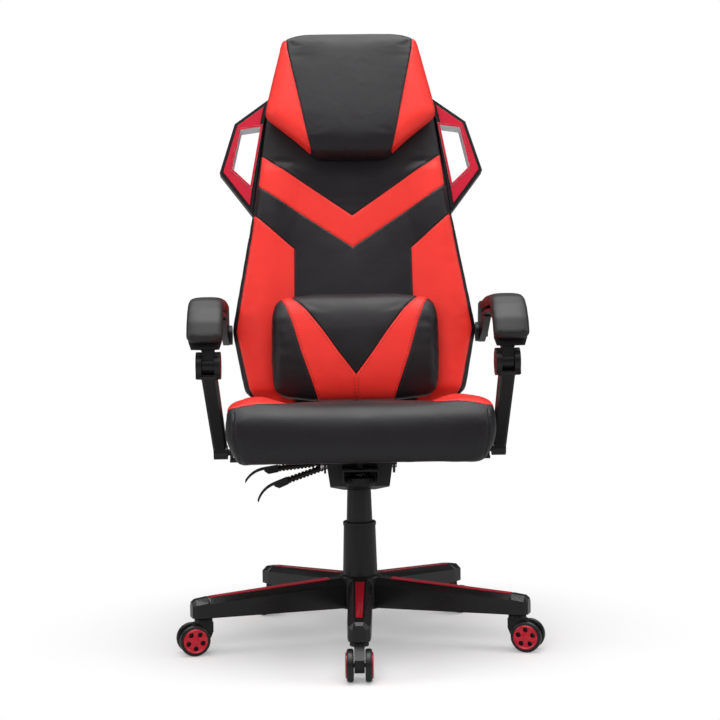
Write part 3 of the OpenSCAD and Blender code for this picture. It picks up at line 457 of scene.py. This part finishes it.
class Cushion:
    """A stuffed piece made from the solid of one CAD node: evened out, blown up, then sewn."""

    def __init__(self, name, node, matrix, voxel, rounds, held, pressure, cap):
        self.matrix = matrix
        self.name = name
        self.body = body_of[node]
        self.piece = as_object(name, mesh_of(node, matrix), matrix, [black_hide, red_hide])
        remesh(self.piece, voxel, rounds)
        swell(self.piece, held, pressure, cap)
        subdivide(self.piece)
        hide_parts(node)
        self.mesh = bmesh.new()
        self.mesh.from_mesh(self.piece.data)
        self.thread = bmesh.new()
        self.seams = []

    def seam(self, view, lines, sides=(STITCH_SIDE,)):
        """Cuts a seam into the cover, to be sunk and sewn at the end."""
        cut_lines(self.mesh, view, lines)
        self.seams.append((view, lines, sides))

    def panel(self, test):
        """Turns the faces that pass the test red."""
        for face in self.mesh.faces:
            if test(face.calc_center_median(), face.normal):
                face.material_index = 1

    def finish(self, thread):
        """Sinks and sews the seams, and hands the piece and its stitches over."""
        for view, lines, _ in self.seams:
            sink_seams(self.mesh, view, lines)
        tree = BVHTree.FromBMesh(self.mesh)
        for view, lines, sides in self.seams:
            sew(self.thread, tree, view, lines, sides)
        self.mesh.to_mesh(self.piece.data)
        self.mesh.free()
        self.piece.data.shade_smooth()
        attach(self.piece, self.body)
        if self.thread.verts:
            rows = as_object(self.name + "_stitches", self.thread, self.matrix, [thread])
            rows.data.shade_smooth()
            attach(rows, self.body)


def mm(points):
    """Points in millimetres, in metres."""
    return [(u / 1000, v / 1000) for u, v in points]


# ---------------------------------------------------------------- back cushion

# Seams in the leaned frame of the back, in mm from its hinge: outer edge of the front panel,
# chevron and side panels
back_edge = mm([(186, 8), (208, 30), (217, 46), (243, 165), (227, 262), (213, 345),
                (197, 455), (185, 560), (176, 640)])
chevron_top = mm([(0, 408), (187, 539)])
chevron_low = mm([(0, 341), (195, 472)])
side_panel = mm([(204, 410), (121, 338), (124, 8)])


def back_held(points, facing):
    """Sewn along the seams in front, and held behind by the cover."""
    flat = flat_places(points, FRONT)
    sewn = seam_distance(flat, both_sides(back_edge) + both_sides(chevron_top)
                         + both_sides(chevron_low) + both_sides(side_panel)) < 0.0045
    return (sewn & (facing[:, 1] < 0)) | (points[:, 1] > 0.004)


def make_back_cushion():
    back = Cushion("back_cushion_cover", "back_cushion", BACK, 0.007, 6, back_held, 4.0, 0.009)
    back.seam(FRONT, both_sides(chevron_top))
    for line in (back_edge, chevron_low, side_panel):
        back.seam(FRONT, both_sides(line), (-STITCH_SIDE,))
    chevron = chevron_top + chevron_low[::-1]
    back.panel(within(FRONT, both_sides(chevron) + both_sides(side_panel + back_edge[:6])))
    wrinkle(back.mesh, lambda p: max(0, 1 - abs(abs(p.x) - 0.2) / 0.05) if p.y < 0 else 0,
            Vector((30, 20, 55)), 0.0007)
    back.finish(black_thread)


# ---------------------------------------------------------------- headrest and pillow

head_seam = mm([(134, 800), (131, 760), (110, 660), (81, 515)])


def head_held(points, facing):
    """Sewn along the seams, and held where it lies on the back."""
    sewn = seam_distance(flat_places(points, FRONT), both_sides(head_seam)) < 0.0035
    return (sewn & (facing[:, 1] < 0.3)) | (facing[:, 1] > 0.75)


def make_headrest():
    head = Cushion("headrest_cover", "headrest", BACK, 0.005, 8, head_held, 4.0, 0.008)
    head.seam(FRONT, both_sides(head_seam))
    widths, heights = zip(*reversed(head_seam))
    head.panel(lambda spot, normal: abs(spot.x) > np.interp(spot.z, heights, widths))
    head.finish(red_thread)


# The V of the pillow, whose inner edge is the upper one
v_inner = mm([(0, 60), (34, 105), (62, 146), (98, 194), (125, 222), (130, 230)])
v_outer = mm([(76, 10), (84, 36), (107, 103), (125, 165), (139, 203), (153, 230)])
v_middle = mm([(0, 10), (0, 60)])


def pillow_held(points, facing):
    """Sewn along both edges of the V, and held where it lies on the back."""
    flat = flat_places(points, FRONT)
    sewn = seam_distance(flat, both_sides(v_inner) + both_sides(v_outer)) < 0.003
    return (sewn & (facing[:, 1] < 0)) | (facing[:, 1] > 0.8)


def make_pillow():
    pillow = Cushion("lumbar_pillow_cover", "lumbar_pillow", BACK, 0.005, 8, pillow_held, 5.0, 0.007)
    pillow.seam(FRONT, both_sides(v_inner) + both_sides(v_outer) + [v_middle], (STITCH_SIDE, -STITCH_SIDE))
    limb = v_inner + v_outer[::-1] + mm([(0, 10)])
    pillow.panel(within(FRONT, both_sides(limb)))
    wrinkle(pillow.mesh, lambda p: min(1, max(0, (abs(p.x) - 0.11) / 0.04)), Vector((28, 30, 60)), 0.0012)
    pillow.finish(black_thread)


# ---------------------------------------------------------------- seat

# Seams of the seat: wings seen from above, then the front edge and the box line in metres
seat_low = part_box("seat_cushion")[0]
seat_wing = mm([(262, -206), (240, -221), (222, -232), (200, -230), (162, -222), (138, -213),
                (132, -190), (128, -100), (126, 0), (128, 150)])
seat_front_edge = [(0.2155, 0.373), (0.2255, 0.412), (0.228, 0.445), (0.227, 0.4655)]
box_line = [(-0.235, 0.455), (-0.2, 0.465), (0.0, 0.456), (0.133, 0.441)]


def seat_held(points, facing):
    """Sewn along the wing seams on top, and held where it rests on the board."""
    on_top = seam_distance(flat_places(points, TOP), both_sides(seat_wing)) < 0.004
    return (on_top & (facing[:, 2] > 0.3)) | (points[:, 2] < seat_low.z + 0.006)


def make_seat():
    seat = Cushion("seat_cushion_cover", "seat_cushion", FLAT, 0.007, 10, seat_held, 4.0, 0.010)
    seat.seam(TOP, both_sides(seat_wing))
    seat.seam(FRONT, both_sides(seat_front_edge), ())
    for view, flip in ((LEFT, -1), (RIGHT, 1)):
        seat.seam(view, [[(u * flip, v) for u, v in box_line]], ())
    wing = seat_wing + mm([(300, 150), (300, -206)])
    lengths, heights = zip(*box_line)
    seat.panel(lambda spot, normal: inside((abs(spot.x), spot.y), wing)
               and spot.z > np.interp(spot.y, lengths, heights))
    wrinkle(seat.mesh, lambda p: max(0, 1 - (p.z - seat_low.z) / 0.045), Vector((26, 26, 20)), 0.0022)
    wrinkle(seat.mesh, lambda p: max(0, 1 - abs(abs(p.x) - 0.232) / 0.03), Vector((10, 36, 60)), 0.0014)
    seat.finish(black_thread)


# ---------------------------------------------------------------- rear cover and arm pads

rear_line = mm([(150, 60), (120, 330), (110, 520), (90, 740)])


def cover_held(points, facing):
    """Held wherever it doesn't look to the rear."""
    return facing[:, 1] < 0.5


def make_rear_cover():
    cover = Cushion("back_cover_skin", "back_cover", BACK, 0.008, 5, cover_held, 3.0, 0.006)
    cover.seam(REAR, both_sides(rear_line))
    cover.finish(black_thread)


def make_arm_pad(side):
    """The soft skin of one arm pad."""
    node = "arm_pad_" + side
    piece = as_object(node + "_skin", mesh_of(node), FLAT, [pad_skin])
    remesh(piece, 0.0035, 14)
    subdivide(piece)
    piece.data.shade_smooth()
    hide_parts(node)
    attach(piece, body_of[node])


# ---------------------------------------------------------------- rigid pieces

def dress(node, made, width=0.001, angle=34, front=None):
    """A copy of a rigid CAD node with rounded edges, and front faces in another finish if one is given."""
    mesh_data = mesh_of(node)
    bmesh.ops.dissolve_limit(mesh_data, angle_limit=math.radians(0.5),
                             verts=mesh_data.verts, edges=mesh_data.edges)
    piece = as_object(node + "_finish", mesh_data, FLAT, [made, front] if front else [made])
    for face in piece.data.polygons:
        face.material_index = int(bool(front) and face.normal.y < -0.7)
    piece.data.shade_smooth()
    bevel = piece.modifiers.new("edges", "BEVEL")
    bevel.width = width
    bevel.segments = 2
    bevel.limit_method = "ANGLE"
    bevel.angle_limit = math.radians(angle)
    bevel.harden_normals = True
    piece.data.set_sharp_from_angle(angle=math.radians(angle))
    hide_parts(node)
    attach(piece, body_of[node])
    return piece


def finish_node(node, made):
    """A CAD node that keeps its mesh and gets its finish."""
    data = nodes[node].data
    data.materials.clear()
    data.materials.append(made)


def dress_all():
    """Every rigid node's finish, from the casters up to the arms."""
    for number in range(1, 6):
        dress(f"caster_fork_{number}", black_plastic, 0.0008)
        for side in ("left", "right"):
            finish_node(f"caster_wheel_{number}_{side}", wheel_plastic)
            dress(f"wheel_cap_{number}_{side}", crimson, 0.0003)
    finish_node("star_base", base_plastic)
    finish_node("leg_strips", strip_crimson)
    for node in ("column_sleeve", "tension_knob", "height_lever", "recline_lever", "hinge_covers"):
        finish_node(node, black_plastic)
    for node in ("column_tube", "mech_housing", "seat_plate", "hinge_plates", "back_frame", "arm_brackets"):
        finish_node(node, coated_steel)
    for node in ("piston_rod", "thrust_bearing", "retaining_clip", "gas_cylinder",
                 "tilt_pin", "tension_spring"):
        finish_node(node, bright_steel)
    finish_node("guide_bush", white_plastic)
    finish_node("seat_board", wood)
    dress("wing_frames", black_plastic, 0.0012)
    dress("wing_inserts", wing_crimson, 0.0008)
    dress("wing_bezels", grey_trim, 0.0007, front=wing_crimson)
    for side in ("left", "right"):
        dress(f"arm_body_{side}", black_plastic, 0.0018)
        dress(f"arm_post_{side}", black_plastic, 0.0018)


# ---------------------------------------------------------------- stage, light and camera

def make_floor(white_from=0.32, white_at=0.75):
    """A pale floor that keeps the shadow and turns white between two distances from the column."""
    mesh_data = bmesh.new()
    bmesh.ops.create_grid(mesh_data, x_segments=24, y_segments=24, size=40.0)
    made = new_material("floor", (0.55, 0.55, 0.555), 0.8, Specular_IOR_Level=0.1)
    tree = made.node_tree
    path = add(tree, "ShaderNodeLightPath")
    seen = add(tree, "ShaderNodeBsdfDiffuse", Color=(0.86, 0.85, 0.855, 1))
    lift = add(tree, "ShaderNodeEmission", Color=(1, 1, 1, 1), Strength=0.2)
    near = add(tree, "ShaderNodeAddShader")
    tree.links.new(seen.outputs[0], near.inputs[0])
    tree.links.new(lift.outputs[0], near.inputs[1])
    white = add(tree, "ShaderNodeEmission", Color=(1, 1, 1, 1), Strength=1.0)
    place = add(tree, "ShaderNodeTexCoord").outputs["Object"]
    reach = add(tree, "ShaderNodeVectorMath")
    reach.operation = "LENGTH"
    tree.links.new(place, reach.inputs[0])
    fade = add(tree, "ShaderNodeMapRange", Value=reach.outputs["Value"])
    fade.interpolation_type = "SMOOTHSTEP"
    fade.inputs["From Min"].default_value = white_from
    fade.inputs["From Max"].default_value = white_at
    shown = add(tree, "ShaderNodeMixShader", Fac=fade.outputs["Result"])
    tree.links.new(near.outputs[0], shown.inputs[1])
    tree.links.new(white.outputs[0], shown.inputs[2])
    either = add(tree, "ShaderNodeMixShader", Fac=path.outputs["Is Camera Ray"])
    tree.links.new(tree.nodes["Principled BSDF"].outputs[0], either.inputs[1])
    tree.links.new(shown.outputs[0], either.inputs[2])
    tree.links.new(either.outputs[0], tree.nodes["Material Output"].inputs["Surface"])
    floor = as_object("floor", mesh_data, Matrix.Translation((0, 0, -0.0005)), [made])


def make_world(light=0.45, low_reflection=0.07, high_reflection=2.8, low_sky=0.5, high_sky=0.97):
    """White to look at, an even grey for light, and brighter in reflections from low to high sky."""
    world = bpy.data.worlds.new("studio")
    bpy.context.scene.world = world
    world.use_nodes = True
    tree = world.node_tree
    back = tree.nodes["Background"]
    back.inputs["Color"].default_value = (1, 1, 1, 1)
    path = add(tree, "ShaderNodeLightPath")
    seen = add(tree, "ShaderNodeMath")
    seen.operation = "MAXIMUM"
    tree.links.new(path.outputs["Is Camera Ray"], seen.inputs[0])
    tree.links.new(path.outputs["Is Transmission Ray"], seen.inputs[1])
    way = add(tree, "ShaderNodeSeparateXYZ", Vector=add(tree, "ShaderNodeTexCoord").outputs["Generated"])
    sky = add(tree, "ShaderNodeMapRange", Value=way.outputs["Z"])
    sky.interpolation_type = "SMOOTHSTEP"
    sky.inputs["From Min"].default_value = low_sky
    sky.inputs["From Max"].default_value = high_sky
    sky.inputs["To Min"].default_value = low_reflection
    sky.inputs["To Max"].default_value = high_reflection
    level = add(tree, "ShaderNodeMix", Factor=path.outputs["Is Glossy Ray"])
    level.inputs["A"].default_value = light
    tree.links.new(sky.outputs["Result"], level.inputs["B"])
    most = add(tree, "ShaderNodeMath")
    most.operation = "MAXIMUM"
    tree.links.new(seen.outputs[0], most.inputs[0])
    tree.links.new(level.outputs["Result"], most.inputs[1])
    tree.links.new(most.outputs[0], back.inputs["Strength"])


def softbox(name, place, target, size, power, mirrored=True):
    """A rectangular lamp that looks at the target, and shows in reflections if mirrored."""
    light = bpy.data.lights.new(name, "AREA")
    light.shape = "RECTANGLE"
    light.size, light.size_y = size
    light.energy = power
    made = bpy.data.objects.new(name, light)
    bpy.context.scene.collection.objects.link(made)
    made.location = place
    made.rotation_euler = (Vector(target) - Vector(place)).to_track_quat("-Z", "Y").to_euler()
    made.visible_glossy = mirrored


def make_camera():
    """The camera of the photo."""
    data = bpy.data.cameras.new("camera")
    data.sensor_width = 36
    data.lens = CAMERA_LENS
    camera = bpy.data.objects.new("camera", data)
    bpy.context.scene.collection.objects.link(camera)
    turn = Matrix.Rotation(math.radians(CAMERA_TURN), 4, "Z")
    pitch = Matrix.Rotation(math.radians(90 - CAMERA_DOWN), 4, "X")
    roll = Matrix.Rotation(math.radians(CAMERA_ROLL), 4, "Z")
    camera.matrix_world = turn @ Matrix.Translation(CAMERA_AWAY) @ pitch @ roll
    bpy.context.scene.camera = camera


make_camera()
make_floor()
make_world()
softbox("overhead", (0.1, -0.5, 3.2), (0, 0.1, 0.6), (2.2, 1.8), 34)
softbox("front", (-0.5, -3.4, 1.9), (0, 0.1, 0.7), (2.4, 1.6), 46, mirrored=False)
softbox("left", (-2.8, -0.8, 1.5), (0, 0.1, 0.6), (1.2, 2.0), 14)
softbox("right", (2.8, -0.8, 1.5), (0, 0.1, 0.6), (1.2, 2.0), 14)
bpy.context.scene.view_settings.view_transform = "Standard"

make_back_cushion()
make_headrest()
make_pillow()
make_seat()
make_rear_cover()
for side in ("left", "right"):
    make_arm_pad(side)
dress_all()
